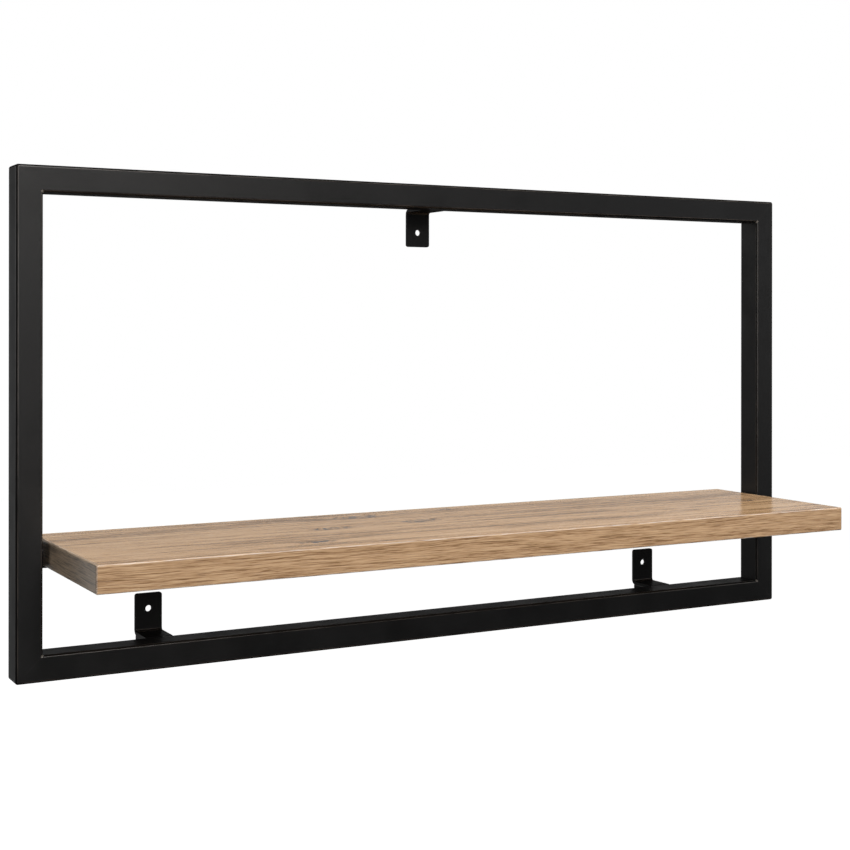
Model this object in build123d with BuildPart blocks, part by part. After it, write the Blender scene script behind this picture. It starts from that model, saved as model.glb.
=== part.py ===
"""Wall shelf: a welded steel tube frame with one deep board, hung on three folded wall brackets.

Frame of reference, in millimetres: X runs along the shelf from its left end to its right end,
Y runs back towards the wall and Z is up. Y = 0 is the wall. The origin is the centre of the
upper wall bracket's screw hole, on the wall.
"""

from build123d import *
import os

os.makedirs("parts", exist_ok=True)

# Tube frame
frame_width = 900.0
frame_height = 476.0
tube_face = 25.0  # as seen from the front
tube_depth = 30.0  # front to back
tube_wall = 1.5
tube_corner_radius = 2.5  # also of the frame's outer corners, ground after welding

# Wall brackets, folded from sheet steel
bracket_width = 27.5
bracket_stand_off = 35.0  # back of the tubes to the wall
bracket_steel = 3.0
bracket_bend_radius = 2.5  # inside of the fold
bracket_plate_height = 37.5  # from the frame's inner face to the plate's free end
bracket_plate_corner = 2.5
bracket_cheek_height = 18.0
bracket_cheek_bend_radius = 1.0  # inside of the fold
bracket_cheek_relief = 1.0  # slot between a cheek and the wall plate
wall_hole_diameter = 6.5
wall_hole_offset = 22.0  # from the frame's inner face to the hole
lower_bracket_inset = 146.0  # from the frame's ends to the middles of the lower brackets

# Board
board_thickness = 25.0
board_rise = 103.0  # bottom of the frame to the bottom of the board
board_projection = 147.0  # in front of the tubes
board_wall_clearance = 0.5
board_end_gap = 6.5  # to each upright
edge_band = 2.0
edge_band_radius = 1.5

# Lugs that carry the board, welded inside the uprights
lug_steel = 3.0
lug_bend_radius = 1.5  # inside of the fold
lug_tab_overlap = 19.0  # along the upright's inner face
lug_tab_height = 20.0  # above the bottom of the board
lug_tab_rise = 2.0  # the tab starts this far above the bottom of the board
lug_shelf_reach = 36.0  # from the upright's inner face, under the board
lug_clearance = 2.0  # behind the tubes, and in front of the wall
lug_corner_radius = 4.0

# Wood screws that hold the board down on its lugs
screw_diameter = 4.0
screw_length = 20.0
screw_head_diameter = 8.0
screw_head_height = 2.4
screw_tip_length = 3.0
screw_head_edge_radius = 1.8
screw_hole_clearance = 0.5  # on the diameter, in the lug
screw_pilot_clearance = 0.1  # on the diameter, in the board
screw_pilot_spare = 3.0  # past the screw's tip
screw_spacing = 14.0
screw_inset = 8.0  # end of the board to the first screw

# Fillet welds
bracket_weld_leg = 3.0
lug_weld_leg = 2.0
weld_end_margin = 1.0
weld_crown = 4.0  # radius of a weld's face, in legs

# Levels and faces that follow from the sizes above
frame_back = -bracket_stand_off
frame_front = frame_back - tube_depth
frame_top = wall_hole_offset + tube_face
frame_bottom = frame_top - frame_height
frame_middle = (frame_top + frame_bottom) / 2
upper_inner_face = frame_top - tube_face
lower_inner_face = frame_bottom + tube_face
upright_inner_face = frame_width / 2 - tube_face
lower_bracket_place = frame_width / 2 - lower_bracket_inset
board_bottom = frame_bottom + board_rise
board_front = frame_front - board_projection
board_back = -board_wall_clearance
board_length = 2 * (upright_inner_face - board_end_gap)
cheek_back = -bracket_steel - bracket_cheek_relief
lug_shelf_front = frame_back + lug_clearance
lug_shelf_back = -lug_clearance
screw_row = (lug_shelf_front + lug_shelf_back) / 2
screw_outer_place = board_length / 2 - screw_inset
screw_inner_place = screw_outer_place - screw_spacing
screw_places = [-screw_outer_place, -screw_inner_place, screw_inner_place, screw_outer_place]


def finish(name, piece):
    """Labels a finished piece and writes it."""
    piece.part.label = name
    export_step(piece.part, f"parts/{name}.step")


def mitred_tube(side, outer_length):
    """A rectangular tube with rounded corners, open at its two 45 degree mitres.

    On the side plane, x runs along the tube's outer edge and y into the frame, from an origin
    in the middle of that edge on the frame's front. The tube's depth lies along the normal.
    The mitres' outer tips are ground to the radius of the tube's own corners.
    """
    along = side.x_dir
    with BuildPart() as tube:
        with BuildSketch(side):
            Rectangle(outer_length, tube_face, align=(Align.CENTER, Align.MIN))
        extrude(amount=tube_depth)
        fillet(tube.edges(), radius=tube_corner_radius)
        for end in (-1, 1):
            tip = side.from_local_coords((end * outer_length / 2, 0, 0))
            split(bisect_by=Plane(origin=tip, z_dir=end * along + side.y_dir), keep=Keep.BOTTOM)
        flats = tube.faces().filter_by(GeomType.PLANE).sort_by(Axis(side.origin, along))
        offset(amount=-tube_wall, openings=[flats[0], flats[-1]])
    return tube


def wall_bracket(x, inner_face, up):
    """A folded bracket: a wall plate, a web level with the frame's inner face, and two cheeks.

    The plate stands up from the web where up is 1 and hangs down where up is -1.
    """
    side = x - up * bracket_width / 2
    # Local x runs towards the wall and local y from the web to the plate's free end.
    fold = Plane(origin=(side, 0, inner_face), x_dir=(0, 1, 0), z_dir=(up, 0, 0))
    # Local x runs across the bracket and local y as above.
    channel = Plane(origin=(x, cheek_back, inner_face), x_dir=(up, 0, 0), z_dir=(0, -1, 0))
    cheek_inside = bracket_width / 2 - bracket_steel
    with BuildPart() as bracket:
        with BuildSketch(fold):
            with BuildLine():
                FilletPolyline(
                    (frame_back, -bracket_steel),
                    (0, -bracket_steel),
                    (0, bracket_plate_height),
                    radius=bracket_bend_radius + bracket_steel,
                )
                offset(amount=bracket_steel, side=Side.LEFT, closed=True)
            make_face()
        extrude(amount=bracket_width)
        with BuildSketch(channel):
            with BuildLine():
                FilletPolyline(
                    (-cheek_inside, -bracket_cheek_height),
                    (-cheek_inside, -bracket_steel),
                    (cheek_inside, -bracket_steel),
                    (cheek_inside, -bracket_cheek_height),
                    radius=bracket_cheek_bend_radius,
                )
                offset(amount=bracket_steel, side=Side.LEFT, closed=True)
            make_face()
        extrude(amount=cheek_back - frame_back)
        plate_end = bracket.faces().sort_by(Axis((0, 0, 0), (0, 0, up)))[-1]
        fillet(plate_end.edges().filter_by(Axis.Y), radius=bracket_plate_corner)
        with Locations(Plane(origin=(x, 0, inner_face + up * wall_hole_offset), z_dir=(0, 1, 0))):
            Hole(wall_hole_diameter / 2)
    return bracket


def board_lug(inward):
    """A folded lug: a tab welded to an upright's inner face, and a shelf under the board.

    Inward is 1 on the left upright and -1 on the right one.
    """
    corner = (-inward * upright_inner_face, lug_shelf_front, board_bottom)
    # Local x runs inward under the board and local y up the tab.
    fold = Plane(origin=corner, x_dir=(inward, 0, 0), z_dir=(0, -inward, 0))
    # Local x runs to the front and local y up the tab, on either side.
    tab = Plane(origin=corner, x_dir=(0, -1, 0), z_dir=(-1, 0, 0))
    tab_length = lug_shelf_front - (frame_back - lug_tab_overlap)
    with BuildPart() as lug:
        with BuildSketch(fold):
            with BuildLine():
                FilletPolyline(
                    (0, lug_tab_height),
                    (0, -lug_steel),
                    (lug_shelf_reach, -lug_steel),
                    radius=lug_bend_radius + lug_steel,
                )
                offset(amount=lug_steel, side=Side.LEFT, closed=True)
            make_face()
        extrude(amount=lug_shelf_back - lug_shelf_front, dir=(0, 1, 0))
        shelf_end = lug.faces().sort_by(Axis(corner, (inward, 0, 0)))[-1]
        fillet(shelf_end.edges().filter_by(Axis.Z), radius=lug_corner_radius)
        with BuildSketch(tab):
            with Locations((0, lug_tab_rise)):
                Rectangle(tab_length, lug_tab_height - lug_tab_rise, align=(Align.MIN, Align.MIN))
        extrude(amount=lug_steel, dir=(inward, 0, 0))
        tab_end = lug.faces().sort_by(Axis.Y)[0]
        fillet(tab_end.edges().filter_by(Axis.X), radius=lug_corner_radius)
        for x in screw_places:
            if x * inward < 0:
                with Locations(Plane(origin=(x, screw_row, board_bottom), z_dir=(0, 0, 1))):
                    Hole((screw_diameter + screw_hole_clearance) / 2)
    return lug


def edge_strip(centre, size, outer, long_axis):
    """An edge band with its outer edges rounded; outer is the axis that its face looks along."""
    with BuildPart() as strip:
        with Locations(centre):
            Box(*size)
        face = strip.faces().sort_by(outer)[-1]
        edges = face.edges()
        if long_axis == Axis.Y:
            edges = edges.filter_by(long_axis)
        else:
            edges = edges + strip.edges().filter_by(Axis.Y)
        fillet(edges, radius=edge_band_radius)
    return strip


def fillet_weld(corner, leg, length, along):
    """A fillet weld with a slightly crowned face; the corner plane's x and y run up its legs."""
    with BuildPart() as weld:
        with BuildSketch(corner):
            with BuildLine():
                Polyline((0, leg), (0, 0), (leg, 0))
                RadiusArc((leg, 0), (0, leg), -weld_crown * leg)
            make_face()
        extrude(amount=length, dir=along)
    return weld.part


# Frame tubes, each from the middle of its outer edge
frame_sides = {
    "top_bar": ((0, frame_front, frame_top), (1, 0, 0), frame_width),
    "bottom_bar": ((0, frame_front, frame_bottom), (-1, 0, 0), frame_width),
    "left_upright": ((-frame_width / 2, frame_front, frame_middle), (0, 0, 1), frame_height),
    "right_upright": ((frame_width / 2, frame_front, frame_middle), (0, 0, -1), frame_height),
}
for name, (middle, along, outer_length) in frame_sides.items():
    finish(name, mitred_tube(Plane(origin=middle, x_dir=along, z_dir=(0, 1, 0)), outer_length))

# Wall brackets
bracket_places = {
    "upper_wall_bracket": (0, upper_inner_face, -1),
    "lower_left_wall_bracket": (-lower_bracket_place, lower_inner_face, 1),
    "lower_right_wall_bracket": (lower_bracket_place, lower_inner_face, 1),
}
for name, (x, inner_face, up) in bracket_places.items():
    finish(name, wall_bracket(x, inner_face, up))

# Welds down both cheeks of each wall bracket, on the flat of the tube's back
cheek_weld_start = max(tube_corner_radius, bracket_steel + bracket_cheek_bend_radius)
cheek_weld_length = bracket_cheek_height - cheek_weld_start - weld_end_margin
with BuildPart() as bracket_welds:
    for x, inner_face, up in bracket_places.values():
        for sign in (-1, 1):
            foot = (x + sign * bracket_width / 2, frame_back, inner_face - up * cheek_weld_start)
            corner = Plane(origin=foot, x_dir=(sign, 0, 0), z_dir=(0, 0, sign))
            add(fillet_weld(corner, bracket_weld_leg, cheek_weld_length, (0, 0, -up)))
finish("bracket_welds", bracket_welds)

# Board lugs
finish("left_board_lug", board_lug(1))
finish("right_board_lug", board_lug(-1))

# Welds along the top and the bottom of each lug's tab, on the flat of the upright
lug_weld_start = frame_back - tube_corner_radius - weld_end_margin
lug_weld_length = lug_weld_start - (frame_back - lug_tab_overlap + lug_corner_radius)
with BuildPart() as lug_welds:
    for inward in (1, -1):
        for level, rise in ((board_bottom + lug_tab_height, 1), (board_bottom + lug_tab_rise, -1)):
            foot = (-inward * upright_inner_face, lug_weld_start, level)
            corner = Plane(origin=foot, x_dir=(inward, 0, 0), z_dir=(0, -inward * rise, 0))
            add(fillet_weld(corner, lug_weld_leg, lug_weld_length, (0, -1, 0)))
finish("lug_welds", lug_welds)

# Board: a faced panel with a band on each edge
board_middle = ((board_front + board_back) / 2, board_bottom + board_thickness / 2)
core_depth = board_back - board_front - 2 * edge_band
core_length = board_length - 2 * edge_band
with BuildPart() as board_core:
    with Locations((0, *board_middle)):
        Box(core_length, core_depth, board_thickness)
    for x in screw_places:
        with Locations(Plane(origin=(x, screw_row, board_bottom), z_dir=(0, 0, -1))):
            Hole(
                (screw_diameter + screw_pilot_clearance) / 2,
                depth=screw_length - lug_steel + screw_pilot_spare,
            )
finish("board_core", board_core)

long_band = (board_length, edge_band, board_thickness)
short_band = (edge_band, core_depth, board_thickness)
band_reach = (core_length + edge_band) / 2
bands = {
    "front_edge_band": ((0, board_front + edge_band / 2, board_middle[1]), long_band, (0, -1, 0)),
    "back_edge_band": ((0, board_back - edge_band / 2, board_middle[1]), long_band, (0, 1, 0)),
    "left_edge_band": ((-band_reach, *board_middle), short_band, (-1, 0, 0)),
    "right_edge_band": ((band_reach, *board_middle), short_band, (1, 0, 0)),
}
for name, (centre, size, outward) in bands.items():
    long_axis = Axis.X if size is long_band else Axis.Y
    finish(name, edge_strip(centre, size, Axis(centre, outward), long_axis))

# Wood screws, up through the lugs into the board
with BuildPart() as wood_screw:
    with BuildSketch(Plane.XZ):
        with BuildLine():
            Polyline(
                (0, screw_length),
                (screw_diameter / 2, screw_length - screw_tip_length),
                (screw_diameter / 2, 0),
                (screw_head_diameter / 2, 0),
                (screw_head_diameter / 2, -screw_head_height),
                (0, -screw_head_height),
                close=True,
            )
        make_face()
    revolve(axis=Axis.Z)
    head_edge = wood_screw.edges().filter_by(GeomType.CIRCLE).sort_by(Axis.Z)[0]
    fillet(head_edge, radius=screw_head_edge_radius)
with BuildPart() as board_screws:
    with Locations([(x, screw_row, board_bottom - lug_steel) for x in screw_places]):
        add(wood_screw.part)
finish("board_screws", board_screws)
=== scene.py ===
"""Looks of the wall shelf: black powder coat, oak decor board, weld beads and screw heads.

Everything is in metres, in the part's own frame: X along the shelf, Y towards the wall, Z up.
"""

import math
from functools import reduce

import bmesh
import bpy
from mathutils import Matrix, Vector


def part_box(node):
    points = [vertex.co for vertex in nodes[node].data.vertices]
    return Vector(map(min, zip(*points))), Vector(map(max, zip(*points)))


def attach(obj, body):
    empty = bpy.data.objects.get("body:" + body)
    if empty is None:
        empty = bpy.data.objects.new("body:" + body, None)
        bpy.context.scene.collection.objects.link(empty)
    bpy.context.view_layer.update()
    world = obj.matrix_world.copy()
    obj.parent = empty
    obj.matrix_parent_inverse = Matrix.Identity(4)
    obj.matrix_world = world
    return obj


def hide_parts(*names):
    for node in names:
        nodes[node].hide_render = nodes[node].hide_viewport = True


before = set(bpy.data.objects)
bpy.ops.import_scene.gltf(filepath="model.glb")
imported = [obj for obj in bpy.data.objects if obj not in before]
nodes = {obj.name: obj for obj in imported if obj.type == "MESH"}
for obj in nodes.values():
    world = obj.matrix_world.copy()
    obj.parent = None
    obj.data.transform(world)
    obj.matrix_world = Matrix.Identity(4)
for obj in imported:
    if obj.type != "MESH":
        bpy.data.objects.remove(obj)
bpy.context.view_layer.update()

# Places that come from the frame
frame_low = Vector(map(min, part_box("left_upright")[0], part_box("bottom_bar")[0]))
frame_high = Vector(map(max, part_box("right_upright")[1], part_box("top_bar")[1]))
frame_middle = (frame_low + frame_high) / 2
frame_half_width = (frame_high.x - frame_low.x) / 2
frame_half_height = (frame_high.z - frame_low.z) / 2
bar_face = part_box("top_bar")[1].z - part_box("top_bar")[0].z

MM = 0.001
WHITE = (1.0, 1.0, 1.0)
NOISE_SPAN = (0.3, 0.7)  # Most of a noise's values lie in it


# Shading


class Shader:
    """Shading nodes, made and linked in short calls. An input is a socket or a constant."""

    def __init__(self, owner, surface, output):
        owner.use_nodes = True
        self.owner = owner
        self.tree = owner.node_tree
        self.tree.nodes.clear()
        self.surface = self.add(surface)
        self.add(output, Surface=self.surface.outputs[0])

    def add(self, kind, settings=(), **inputs):
        """A node of that kind, with its settings and its inputs by name."""
        made = self.tree.nodes.new(kind)
        for key, value in dict(settings).items():
            setattr(made, key, value)
        for key, value in inputs.items():
            self.feed(made.inputs[key.replace("_", " ")], value)
        return made

    def feed(self, socket, value):
        """Links a socket to an input, or sets the input's constant."""
        if isinstance(value, bpy.types.NodeSocket):
            self.tree.links.new(value, socket)
        else:
            socket.default_value = value

    def finish(self, **inputs):
        """Sets the surface's own inputs by name, and gives what the shader belongs to."""
        for key, value in inputs.items():
            if isinstance(value, tuple):
                value = (*value, 1.0)
            self.feed(self.surface.inputs[key.replace("_", " ")], value)
        return self.owner

    def place(self):
        """The point on the surface, in the part's frame."""
        return self.add("ShaderNodeTexCoord").outputs["Object"]

    def facing(self):
        """The three coordinates of the surface's normal."""
        return self.split(self.add("ShaderNodeNewGeometry").outputs["Normal"])

    def flatness(self, facing):
        """1 where the surface is square to an axis, less where it bends away."""
        return self.chain("MAXIMUM", *[self.math("ABSOLUTE", part) for part in facing])

    def split(self, vector):
        """The three coordinates of a vector."""
        return self.add("ShaderNodeSeparateXYZ", Vector=vector).outputs

    def join(self, x, y, z=0.0):
        """A vector from its coordinates."""
        return self.add("ShaderNodeCombineXYZ", X=x, Y=y, Z=z).outputs[0]

    def math(self, operation, first, second=0.0):
        """One arithmetic step."""
        made = self.add("ShaderNodeMath", {"operation": operation})
        self.feed(made.inputs[0], first)
        self.feed(made.inputs[1], second)
        return made.outputs[0]

    def chain(self, operation, *terms):
        """One arithmetic step after the other, from the first term to the last."""
        return reduce(lambda first, second: self.math(operation, first, second), terms)

    def total(self, *terms):
        """The sum of several terms."""
        return self.chain("ADD", *terms)

    def product(self, *terms):
        """The product of several terms."""
        return self.chain("MULTIPLY", *terms)

    def step(self, value, start, end, low=0.0, high=1.0):
        """Turns smoothly from low to high as the value goes over the span from start to end."""
        made = self.add("ShaderNodeMapRange", {"interpolation_type": "SMOOTHSTEP"}, Value=value)
        limits = {"From Min": start, "From Max": end, "To Min": low, "To Max": high}
        for key, limit in limits.items():
            self.feed(made.inputs[key], limit)
        return made.outputs[0]

    def noise(self, vector, scale=1.0, detail=2.0, roughness=0.5):
        """Noise from 0 to 1, with about so many grains to a unit of the vector."""
        settings = {"Scale": scale, "Detail": detail, "Roughness": roughness}
        return self.add("ShaderNodeTexNoise", Vector=vector, **settings).outputs["Fac"]

    def mix(self, share, first, second, blend="MIX"):
        """A colour between two, or one blended over the other."""
        made = self.add("ShaderNodeMix", {"data_type": "RGBA", "blend_type": blend})
        self.feed(made.inputs["Factor"], share)
        colours = [socket for socket in made.inputs if socket.type == "RGBA"]
        for socket, value in zip(colours, (first, second)):
            self.feed(socket, (*value, 1.0) if isinstance(value, tuple) else value)
        return next(socket for socket in made.outputs if socket.type == "RGBA")

    def bump(self, height, strength, distance):
        """A normal from a height of 0 to 1 that stands for that distance."""
        made = self.add("ShaderNodeBump", Height=height, Strength=strength, Distance=distance)
        return made.outputs["Normal"]


def material(name):
    """The nodes of a new material."""
    made = bpy.data.materials.new(name)
    return Shader(made, "ShaderNodeBsdfPrincipled", "ShaderNodeOutputMaterial")


def scaled(colour, gain):
    """A colour that many times as bright."""
    return tuple(gain * part for part in colour)


# Materials


def mitre_marks(s, place):
    """The ground weld seams of the frame's mitres, and the pale spots at its inner front corners.
    """
    seam_span, spot_span = (1.2 * MM, 0.2 * MM), (1.6 * MM, 0.6 * MM)
    front_span = (frame_low.y + 2.5 * MM, frame_low.y + 1.0 * MM)
    broken_span = (0.35, 0.6)
    x, y, z = s.split(place)
    across = s.math("SUBTRACT", frame_half_width, s.math("ABSOLUTE", x))
    level = s.math("ABSOLUTE", s.math("SUBTRACT", z, frame_middle.z))
    down = s.math("SUBTRACT", frame_half_height, level)
    off_seam = s.math("ABSOLUTE", s.math("SUBTRACT", across, down))
    broken = s.step(s.noise(place, scale=180.0), *broken_span)
    seam = s.product(s.step(off_seam, *seam_span), broken)
    off_corner = s.math("SUBTRACT", s.math("MAXIMUM", across, down), bar_face)
    off_spot = s.math("MAXIMUM", s.math("ABSOLUTE", off_corner), off_seam)
    spot = s.product(s.step(off_spot, *spot_span), s.step(y, *front_span))
    return seam, spot


def powder_coat(name, colour, gloss, seams):
    """Black powder coat: fine grained and mottled, rubbed smooth along its rounded edges, where a
    pale band is partly wear and partly a painted highlight.
    """
    # The pale edge colour is partly wear and partly a painted highlight; it also tints the seams
    wear_and_highlight, pale_spot_tone = (0.085, 0.072, 0.062), (0.30, 0.27, 0.24)
    grain_gain = 1.5
    grain_span, cloud_span, patch_span = (0.35, 0.75), (0.35, 0.65), (0.30, 0.62)
    # A rounded edge's flatness falls from 1 at its sides to 0.7 in its middle
    bend_span, rub_and_highlight_start, rub_and_highlight_end = (0.999, 0.992), (0.995, 0.985), (0.90, 0.94)
    rub_and_highlight_share, spot_share, seam_share = 0.55, 0.6, 0.06
    grain_relief, seam_relief = 0.5, 0.5
    bend_polish = -0.20
    s = material(name)
    place = s.place()
    grain = s.noise(place, scale=900.0, detail=3.0, roughness=0.6)
    orange_peel = s.noise(place, scale=260.0)
    mottle = s.noise(place, scale=22.0, detail=3.0, roughness=0.55)
    cloud = s.noise(place, scale=5.0)
    patches = s.noise(place, scale=30.0, detail=3.0, roughness=0.6)

    flatness = s.flatness(s.facing())
    bend = s.step(flatness, *bend_span)
    # Band part way round each rounded edge, where the painted highlight goes
    edge = s.product(s.step(flatness, *rub_and_highlight_start), s.step(flatness, *rub_and_highlight_end))
    rub_and_highlight = s.product(edge, s.step(patches, *patch_span, low=0.25))

    base = s.mix(s.step(grain, *grain_span, high=0.35), colour, scaled(colour, grain_gain))
    # Pale band along the rounded edges: partly wear, partly a painted highlight
    base = s.mix(s.product(rub_and_highlight, rub_and_highlight_share), base, wear_and_highlight)
    shade = s.total(
        s.step(mottle, *NOISE_SPAN, low=-0.10, high=0.14),
        s.step(cloud, *cloud_span, low=-0.06, high=0.08),
        1.0,
    )
    tint = s.add("ShaderNodeCombineColor", Red=shade, Green=shade, Blue=shade).outputs[0]
    base = s.mix(1.0, base, tint, "MULTIPLY")
    height = s.total(s.product(grain, grain_relief), orange_peel)
    if seams:
        seam, spot = mitre_marks(s, place)
        # A pale spot at each inner front corner of the frame
        base = s.mix(s.product(spot, spot_share), base, pale_spot_tone)
        base = s.mix(s.product(seam, seam_share), base, wear_and_highlight)
        height = s.total(height, s.product(seam, seam_relief))

    relief = s.step(bend, 0.0, 1.0, low=0.35, high=0.12)
    matt = s.step(mottle, *NOISE_SPAN, low=0.36, high=0.45)
    return s.finish(
        Base_Color=base,
        Roughness=s.total(matt, s.product(bend, bend_polish)),
        Normal=s.bump(height, relief, distance=0.12 * MM),
        Specular_IOR_Level=gloss,
        IOR=1.5,
    )


def bent_by_knots(s, axes, lines, knots):
    """The grain lines pushed aside by the knots, and the knots' cores."""
    core_span = (1.2, 0.2)
    cores = []
    for knot_x, knot_y, half_length, half_width, push in knots:
        from_x = s.math("DIVIDE", s.math("SUBTRACT", axes["x"], knot_x), half_length)
        from_y = s.math("DIVIDE", s.math("SUBTRACT", axes["y"], knot_y), half_width)
        reach = s.total(s.product(from_x, from_x), s.product(from_y, from_y))
        swell = s.math("EXPONENT", s.product(reach, -1.0))
        lines = s.total(lines, s.product(swell, push))
        cores.append(s.step(reach, *core_span))
    return lines, cores


def oak(name, along, across, knots, layers, colours, film):
    """Oak decor. Its grain runs along one axis and its lines follow on round the board's edges.

    A layer of streaks is how many there are in a metre along and across the grain, and a weight.
    The colours are those of the light, the common and the dark wood. The film is the weight of a
    clear coat.
    """
    light, common, dark = colours
    # The near white is a painted highlight on the front edges
    knot_black, highlight_white = (0.046, 0.050, 0.062), (0.58, 0.60, 0.62)
    # So many in a metre along and across the grain
    slow, quick, pore, speck = (1.7, 8.0), (14.0, 45.0), (60.0, 1100.0), (215.0, 135.0)
    slow_wander, quick_wander = 16 * MM, 3.0 * MM
    streak_span, pore_span, fleck_span = (0.38, 0.62), (0.60, 0.68), (0.49, 0.54)
    dark_tones, light_tones = (-0.1, 0.5), (0.5, 1.1)
    bend_span, front_span, highlight_span = (0.97, 0.85), (-0.1, -0.3), (0.40, 0.6)
    pore_share, heart_share, fleck_share = 0.38, 0.30, 0.9
    pore_relief, fine_relief, finest_relief = -1.0, 0.6, 0.5
    pore_matt = 0.2
    s = material(name)
    axes = dict(zip("xyz", s.split(s.place())))
    run = axes[along]
    side = s.total(*[axes[axis] for axis in across])

    def stretched(counts, over, level=0.0):
        """Coordinates with so many units in a metre along and across the grain."""
        along_count, across_count = counts
        return s.join(s.product(run, along_count), s.product(over, across_count), level)

    lines = s.total(
        side,
        s.product(s.noise(stretched(slow, side)), slow_wander),
        s.product(s.noise(stretched(quick, side, level=3.0)), quick_wander),
    )
    lines, cores = bent_by_knots(s, axes, lines, knots)

    streaks, tones = [], []
    for *counts, weight in layers:
        streak = s.noise(stretched(counts, lines), roughness=0.6)
        streaks.append(streak)
        tones.append(s.step(streak, *streak_span, -weight, weight))
    fine, finest = streaks[-2:]
    tone = s.total(0.5, *tones)
    pores = s.step(s.noise(stretched(pore, lines), roughness=0.55), *pore_span)
    base = s.mix(s.step(tone, *dark_tones), dark, common)
    base = s.mix(s.step(tone, *light_tones), base, light)
    base = s.mix(s.product(pores, pore_share), base, dark)
    if cores:
        heart = s.chain("MAXIMUM", *cores)
        fleck = s.step(s.noise(stretched(speck, side), roughness=0.6), *fleck_span)
        base = s.mix(s.product(heart, heart_share), base, dark)
        base = s.mix(s.product(heart, fleck, fleck_share), base, knot_black)

    # The rounded edges that face the front are painted pale, as a painted highlight
    facing = s.facing()
    rounded = s.step(s.flatness(facing), *bend_span)
    front = s.step(facing["Y"], *front_span)
    painted_highlight = s.product(rounded, front, s.step(finest, *highlight_span, low=0.05, high=0.55))
    base = s.mix(painted_highlight, base, highlight_white)

    height = s.total(
        s.product(pores, pore_relief),
        s.product(fine, fine_relief),
        s.product(finest, finest_relief),
    )
    satin = s.step(fine, *NOISE_SPAN, low=0.25, high=0.17)
    return s.finish(
        Base_Color=base,
        Roughness=s.total(satin, s.product(pores, pore_matt)),
        Normal=s.bump(height, strength=0.30, distance=0.15 * MM),
        Specular_IOR_Level=0.5,
        IOR=1.45,
        Coat_Weight=film,
        Coat_Roughness=0.28,
        Coat_IOR=1.5,
    )


def zinc(name):
    """Zinc plated steel with a faint milky mottle."""
    dull, bright = (0.60, 0.60, 0.58), (0.72, 0.73, 0.74)
    s = material(name)
    place = s.place()
    mottle = s.noise(place, scale=700.0, detail=3.0, roughness=0.6)
    grain = s.noise(place, scale=2600.0)
    return s.finish(
        Base_Color=s.mix(s.step(mottle, *NOISE_SPAN), dull, bright),
        Metallic=1.0,
        Roughness=s.step(mottle, *NOISE_SPAN, low=0.30, high=0.42),
        Normal=s.bump(grain, strength=0.15, distance=0.05 * MM),
    )


def floor_paint(name, colour):
    """Even white paint of a studio floor, lit as brightly as its backdrop."""
    shade_gain = 0.985
    s = material(name)
    shade = s.step(s.noise(s.place(), scale=2.0), *NOISE_SPAN)
    return s.finish(
        Base_Color=s.mix(shade, colour, scaled(colour, shade_gain)),
        Roughness=0.9,
        Specular_IOR_Level=0.0,
        Emission_Color=WHITE,
        Emission_Strength=1.0,
    )


# Knots on the board's face: place along X and Y, half length, half width, and how far they push
# the lines
face_knots = [
    (-0.088, -0.034, 0.036, 0.011, 0.018),
    (-0.150, -0.100, 0.026, 0.008, 0.014),
    (-0.044, -0.090, 0.026, 0.011, 0.016),
    (-0.200, -0.176, 0.022, 0.006, 0.010),
    (0.024, -0.022, 0.014, 0.006, 0.008),
    (0.368, -0.112, 0.014, 0.007, 0.008),
]
face_layers = (
    (1.2, 14.0, 0.14),
    (2.6, 45.0, 0.22),
    (3.6, 110.0, 0.31),
    (9.0, 360.0, 0.15),
    (20.0, 760.0, 0.22),
    (48.0, 1700.0, 0.28),
)
band_layers = (
    (2.0, 20.0, 0.06),
    (3.5, 110.0, 0.09),
    (11.0, 440.0, 0.23),
    (22.0, 800.0, 0.27),
    (48.0, 1700.0, 0.34),
)
face_colours = ((0.49, 0.322, 0.182), (0.406, 0.251, 0.130), (0.162, 0.090, 0.043))
band_colours = ((0.55, 0.37, 0.22), (0.44, 0.276, 0.152), (0.20, 0.110, 0.052))
# The end bands' colours are greyer and lighter than the bands': partly the end print's own tone,
# partly a painted sheen
end_print_and_sheen_colours = ((0.66, 0.50, 0.355), (0.535, 0.40, 0.275), (0.20, 0.145, 0.10))

frame_paint = powder_coat("frame_paint", (0.0050, 0.0050, 0.0052), 0.25, seams=True)
bracket_paint = powder_coat("bracket_paint", (0.0040, 0.0040, 0.0042), 0.15, seams=False)
board_face = oak("board_face", "x", "yz", face_knots, face_layers, face_colours, film=0.0)
edge_band = oak("edge_band", "x", "yz", [], band_layers, band_colours, film=0.0)
end_band = oak("end_band", "y", "xz", [], band_layers, end_print_and_sheen_colours, film=1.0)
screw_steel = zinc("screw_steel")

finishes = {
    "top_bar": frame_paint,
    "bottom_bar": frame_paint,
    "left_upright": frame_paint,
    "right_upright": frame_paint,
    "upper_wall_bracket": bracket_paint,
    "lower_left_wall_bracket": bracket_paint,
    "lower_right_wall_bracket": bracket_paint,
    "left_board_lug": bracket_paint,
    "right_board_lug": bracket_paint,
    "board_core": board_face,
    "front_edge_band": edge_band,
    "back_edge_band": edge_band,
    "left_edge_band": end_band,
    "right_edge_band": end_band,
}
for name, finish in finishes.items():
    nodes[name].material_slots[0].material = finish


# Pieces that stand for nodes of the part


def add_object(name, data):
    """A new object in the scene."""
    made = bpy.data.objects.new(name, data)
    bpy.context.scene.collection.objects.link(made)
    return made


def piece(name, mesh, finish, replaced):
    """Adds a finished piece that stands for a node of the part."""
    made = add_object(name, mesh)
    mesh.materials.clear()
    mesh.materials.append(finish)
    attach(made, "root")
    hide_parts(replaced)


def evaluated(thing):
    """The mesh of an object with its modifiers applied."""
    bpy.context.view_layer.update()
    seen = thing.evaluated_get(bpy.context.evaluated_depsgraph_get())
    return bpy.data.meshes.new_from_object(seen)


def mesh_from(shape, name):
    """A mesh from an edited shape, which is freed."""
    mesh = bpy.data.meshes.new(name)
    shape.to_mesh(mesh)
    shape.free()
    return mesh


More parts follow.
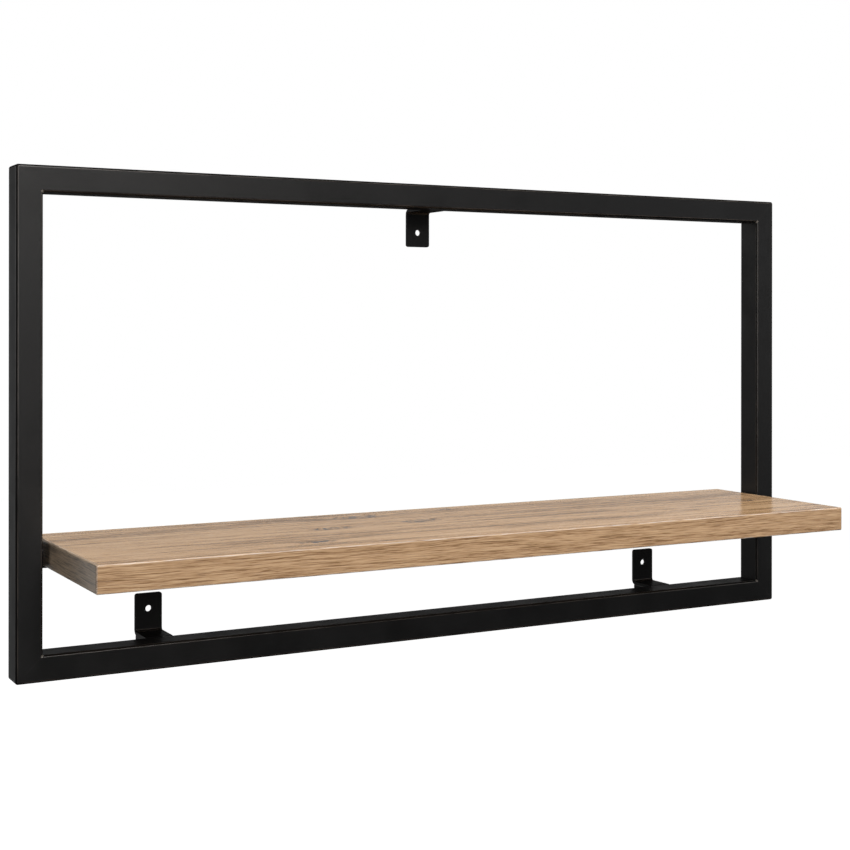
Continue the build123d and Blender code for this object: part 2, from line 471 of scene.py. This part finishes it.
def weld_bead(node, axis, name):
    """Weld beads with the ripples that a moving pool leaves, in the place of plain fillets.

    The ripples follow each other along the axis, which is 0, 1 or 2 for X, Y or Z.
    """
    voxel = 0.30 * MM
    soften_share, soften_rounds = 0.5, 4
    ripple_pitch = 1.5 * MM
    ripple_height = 0.16 * MM
    ripple_slant = 0.35
    ripple_level = 0.6
    rough = add_object(name + "_form", nodes[node].data.copy())
    remesh = rough.modifiers.new("remesh", "REMESH")
    remesh.mode = "VOXEL"
    remesh.voxel_size = voxel
    soften = rough.modifiers.new("soften", "SMOOTH")
    soften.factor = soften_share
    soften.iterations = soften_rounds
    mesh = evaluated(rough)
    bpy.data.objects.remove(rough)
    shape = bmesh.new()
    shape.from_mesh(mesh)
    shape.normal_update()
    moves = []
    for v in shape.verts:
        lean = sum(abs(v.co[i]) for i in range(3) if i != axis)
        phase = (v.co[axis] + ripple_slant * lean) / ripple_pitch
        wave = abs(math.cos(math.pi * phase)) - ripple_level
        moves.append(v.normal * ripple_height * wave)
    for v, move in zip(shape.verts, moves):
        v.co += move
    shape.to_mesh(mesh)
    shape.free()
    mesh.shade_smooth()
    piece(name, mesh, bracket_paint, node)


weld_bead("bracket_welds", 2, "bracket_weld_beads")
weld_bead("lug_welds", 1, "lug_weld_beads")


def turned(outline, top, name):
    """A closed mesh turned about Z: a tip at the top, then the outline's rings, down to z = 0."""
    turns = 48
    angles = [2 * math.pi * k / turns for k in range(turns)]
    shape = bmesh.new()
    tip = shape.verts.new((0, 0, top))
    rings = []
    for radius, z in outline:
        round_about = [(radius * math.cos(a), radius * math.sin(a), z) for a in angles]
        rings.append([shape.verts.new(point) for point in round_about])
    foot = shape.verts.new((0, 0, 0))
    for k in range(turns):
        n = (k + 1) % turns
        shape.faces.new((tip, rings[0][k], rings[0][n]))
        for upper, lower in zip(rings, rings[1:]):
            shape.faces.new((upper[k], lower[k], lower[n], upper[n]))
        shape.faces.new((rings[-1][k], foot, rings[-1][n]))
    bmesh.ops.recalc_face_normals(shape, faces=shape.faces)
    return mesh_from(shape, name)


def recess_cutter(reach_x, reach_y, depth):
    """One bar of a cross recess. It reaches through z = 0 and narrows upwards."""
    upper_share = 0.45
    bar = bmesh.new()
    bmesh.ops.create_cube(bar, size=2.0)
    for v in bar.verts:
        taper = upper_share if v.co.z > 0 else 1.0
        v.co = Vector((v.co.x * reach_x * taper, v.co.y * reach_y * taper, v.co.z * depth))
    return add_object("cutter", mesh_from(bar, "cutter"))


def screw_mesh(height, head_height, head_radius, shank_radius):
    """A pan head screw with a cross recess. Its head stands on z = 0 and its point is up."""
    recess_depth = 0.75 * head_height
    recess_reach = 0.55 * head_radius
    recess_slot = 0.16 * head_radius
    point_height = 1.5 * shank_radius
    rim = 0.45 * head_height
    dome_steps = 8
    shank_share = 0.02
    outline = [
        (shank_radius, height - point_height),
        (shank_radius, head_height),
        (head_radius, head_height),
        (head_radius, rim),
    ]
    for number in range(1, dome_steps):
        angle = number / dome_steps * math.pi / 2
        radius = head_radius * math.cos(angle) * (1 - shank_share) + shank_share * shank_radius
        outline.append((radius, rim * (1 - math.sin(angle))))
    body = add_object("screw_body", turned(outline, height, "screw"))
    cutters = []
    for reach_x, reach_y in ((recess_reach, recess_slot), (recess_slot, recess_reach)):
        cutter = recess_cutter(reach_x, reach_y, recess_depth)
        cutters.append(cutter)
        take = body.modifiers.new("recess", "BOOLEAN")
        take.operation = "DIFFERENCE"
        take.solver = "EXACT"
        take.object = cutter
    result = evaluated(body)
    for thing in (body, *cutters):
        bpy.data.objects.remove(thing)
    return result


def screws():
    """The wood screws under the lugs, as one piece."""
    low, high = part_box("board_screws")
    head_radius = (high.y - low.y) / 2
    head_height = 2.4 * MM
    shank_radius = 2 * MM
    spacing = 14 * MM
    turn_between = 0.7
    sharp_angle = math.radians(35)
    one = screw_mesh(high.z - low.z, head_height, head_radius, shank_radius)
    outer = high.x - head_radius
    inner = outer - spacing
    shape = bmesh.new()
    for number, x in enumerate((-outer, -inner, inner, outer)):
        before = len(shape.verts)
        shape.from_mesh(one)
        shape.verts.ensure_lookup_table()
        turn = turn_between * number
        for v in shape.verts[before:]:
            a, b = v.co.x, v.co.y
            v.co.x = x + a * math.cos(turn) - b * math.sin(turn)
            v.co.y = (low.y + high.y) / 2 + a * math.sin(turn) + b * math.cos(turn)
            v.co.z += low.z
    mesh = mesh_from(shape, "board_screws_finished")
    mesh.shade_smooth()
    mesh.set_sharp_from_angle(angle=sharp_angle)
    piece("board_screws_finished", mesh, screw_steel, "board_screws")


screws()


# Studio

floor_drop = 1.6
floor_size = 30.0
bpy.ops.mesh.primitive_plane_add(size=floor_size, location=(0, 0, frame_low.z - floor_drop))
floor = bpy.context.object
floor.name = "floor"
floor.data.materials.append(floor_paint("floor_paint", (0.93, 0.93, 0.93)))
floor.visible_diffuse = False
floor.visible_glossy = False


def soft_light(name, place, aim, size, power, colour=WHITE, glossy=True):
    """Adds a rectangular soft box that looks at a point. Its size is in metres, its power in W."""
    data = bpy.data.lights.new(name, "AREA")
    data.shape = "RECTANGLE"
    data.size, data.size_y = size
    data.energy = power
    data.color = colour
    lamp = add_object(name, data)
    lamp.location = place
    lamp.rotation_euler = (Vector(aim) - Vector(place)).to_track_quat("-Z", "Y").to_euler()
    lamp.visible_camera = False
    lamp.visible_glossy = glossy


# The first four show in the paint's gloss, and the others only fill
middle = (0.0, -0.1, -0.2)
warm = (1.0, 0.97, 0.94)
soft_light("key", (0.10, -2.6, 1.50), (0.10, -0.1, 0.2), (0.65, 1.9), 35, warm)
soft_light("key_low", (0.50, -2.6, 0.72), (-0.3, -0.1, -0.4), (0.5, 0.4), 6.5, warm)
soft_light("key_side", (-0.60, -2.6, 0.10), (-0.3, -0.1, 0.0), (1.0, 1.0), 15, warm)
soft_light("right_card", (2.9, -2.6, 0.2), middle, (1.0, 1.4), 6.5)
soft_light("front_fill", (1.3, -3.2, 0.3), middle, (3.0, 1.8), 16, glossy=False)
soft_light("top", (0.3, -0.4, 2.0), middle, (2.2, 1.4), 77, glossy=False)
soft_light("left_fill", (-2.6, -0.4, 0.2), middle, (1.2, 1.6), 10, glossy=False)
soft_light("right_fill", (2.6, -0.6, 0.3), middle, (1.2, 1.6), 12, glossy=False)
soft_light("under", (0.0, -0.5, -1.7), middle, (2.2, 1.4), 10, glossy=False)
soft_light("back", (0.4, 2.4, 0.8), middle, (1.8, 1.2), 35, glossy=False)


def surroundings():
    """White to the camera. To reflections, a grey wall behind the shelf and one before it.

    The wall is nearly black higher up and brighter towards both ends. In a corner behind the
    shelf, to its left, it is darker but goes on over the floor, nearly black elsewhere.
    """
    # Spans of a direction's coordinates, over which one thing turns into the next
    behind, before = (0.1, 0.8), (-0.60, -0.85)
    right_end, left_end = (0.55, 0.72), (-0.35, -0.60)
    corner_left, corner_right = (-0.55, -0.35), (0.10, -0.10)
    upwards, horizon = (0.125, 0.185), (-0.12, 0.0)
    # Brightness, and what it is multiplied by
    wall_behind, wall_aside, wall_before = 0.55, 0.03, 0.23
    right_gain, left_gain, upper_gain, corner_gain = 1.30, 2.0, 0.03, 0.31
    floor_gain, corner_floor_gain = 0.03, 1.45
    world = bpy.data.worlds.new("studio")
    bpy.context.scene.world = world
    w = Shader(world, "ShaderNodeBackground", "ShaderNodeOutputWorld")
    x, y, z = w.split(w.add("ShaderNodeTexCoord").outputs["Generated"])
    corner = w.product(w.step(x, *corner_left), w.step(x, *corner_right))
    wall = w.product(
        w.total(
            w.step(y, *behind, low=wall_aside, high=wall_behind),
            w.step(y, *before, high=wall_before),
        ),
        w.step(x, *right_end, low=1.0, high=right_gain),
        w.step(z, *upwards, low=1.0, high=upper_gain),
        w.step(x, *left_end, low=1.0, high=left_gain),
        w.step(corner, 0.0, 1.0, low=1.0, high=corner_gain),
    )
    above_floor = w.step(z, *horizon)
    below = w.math("SUBTRACT", 1.0, above_floor)
    on_floor = w.step(corner, 0.0, 1.0, low=floor_gain, high=corner_floor_gain)
    gain = w.total(above_floor, w.product(below, on_floor))
    to_camera = w.add("ShaderNodeLightPath").outputs["Is Camera Ray"]
    w.finish(Color=WHITE, Strength=w.math("MAXIMUM", w.product(wall, gain), to_camera))


surroundings()

# Camera, level, in front of the shelf and to its left
camera_place = (-0.7830, -1.4485, -0.0976)
camera_turn = math.radians(28.71)
camera_roll = math.radians(-0.054)
camera_lens = 63.86
camera_rise = -0.1207
film_width = 36.0
camera_data = bpy.data.cameras.new("camera")
camera_data.sensor_width = film_width
camera_data.lens = camera_lens
camera_data.shift_y = camera_rise
camera = add_object("camera", camera_data)
camera.location = camera_place
camera.rotation_euler = (math.pi / 2, camera_roll, -camera_turn)
bpy.context.scene.camera = camera

view = bpy.context.scene.view_settings
view.view_transform = "Standard"
view.look = "None"
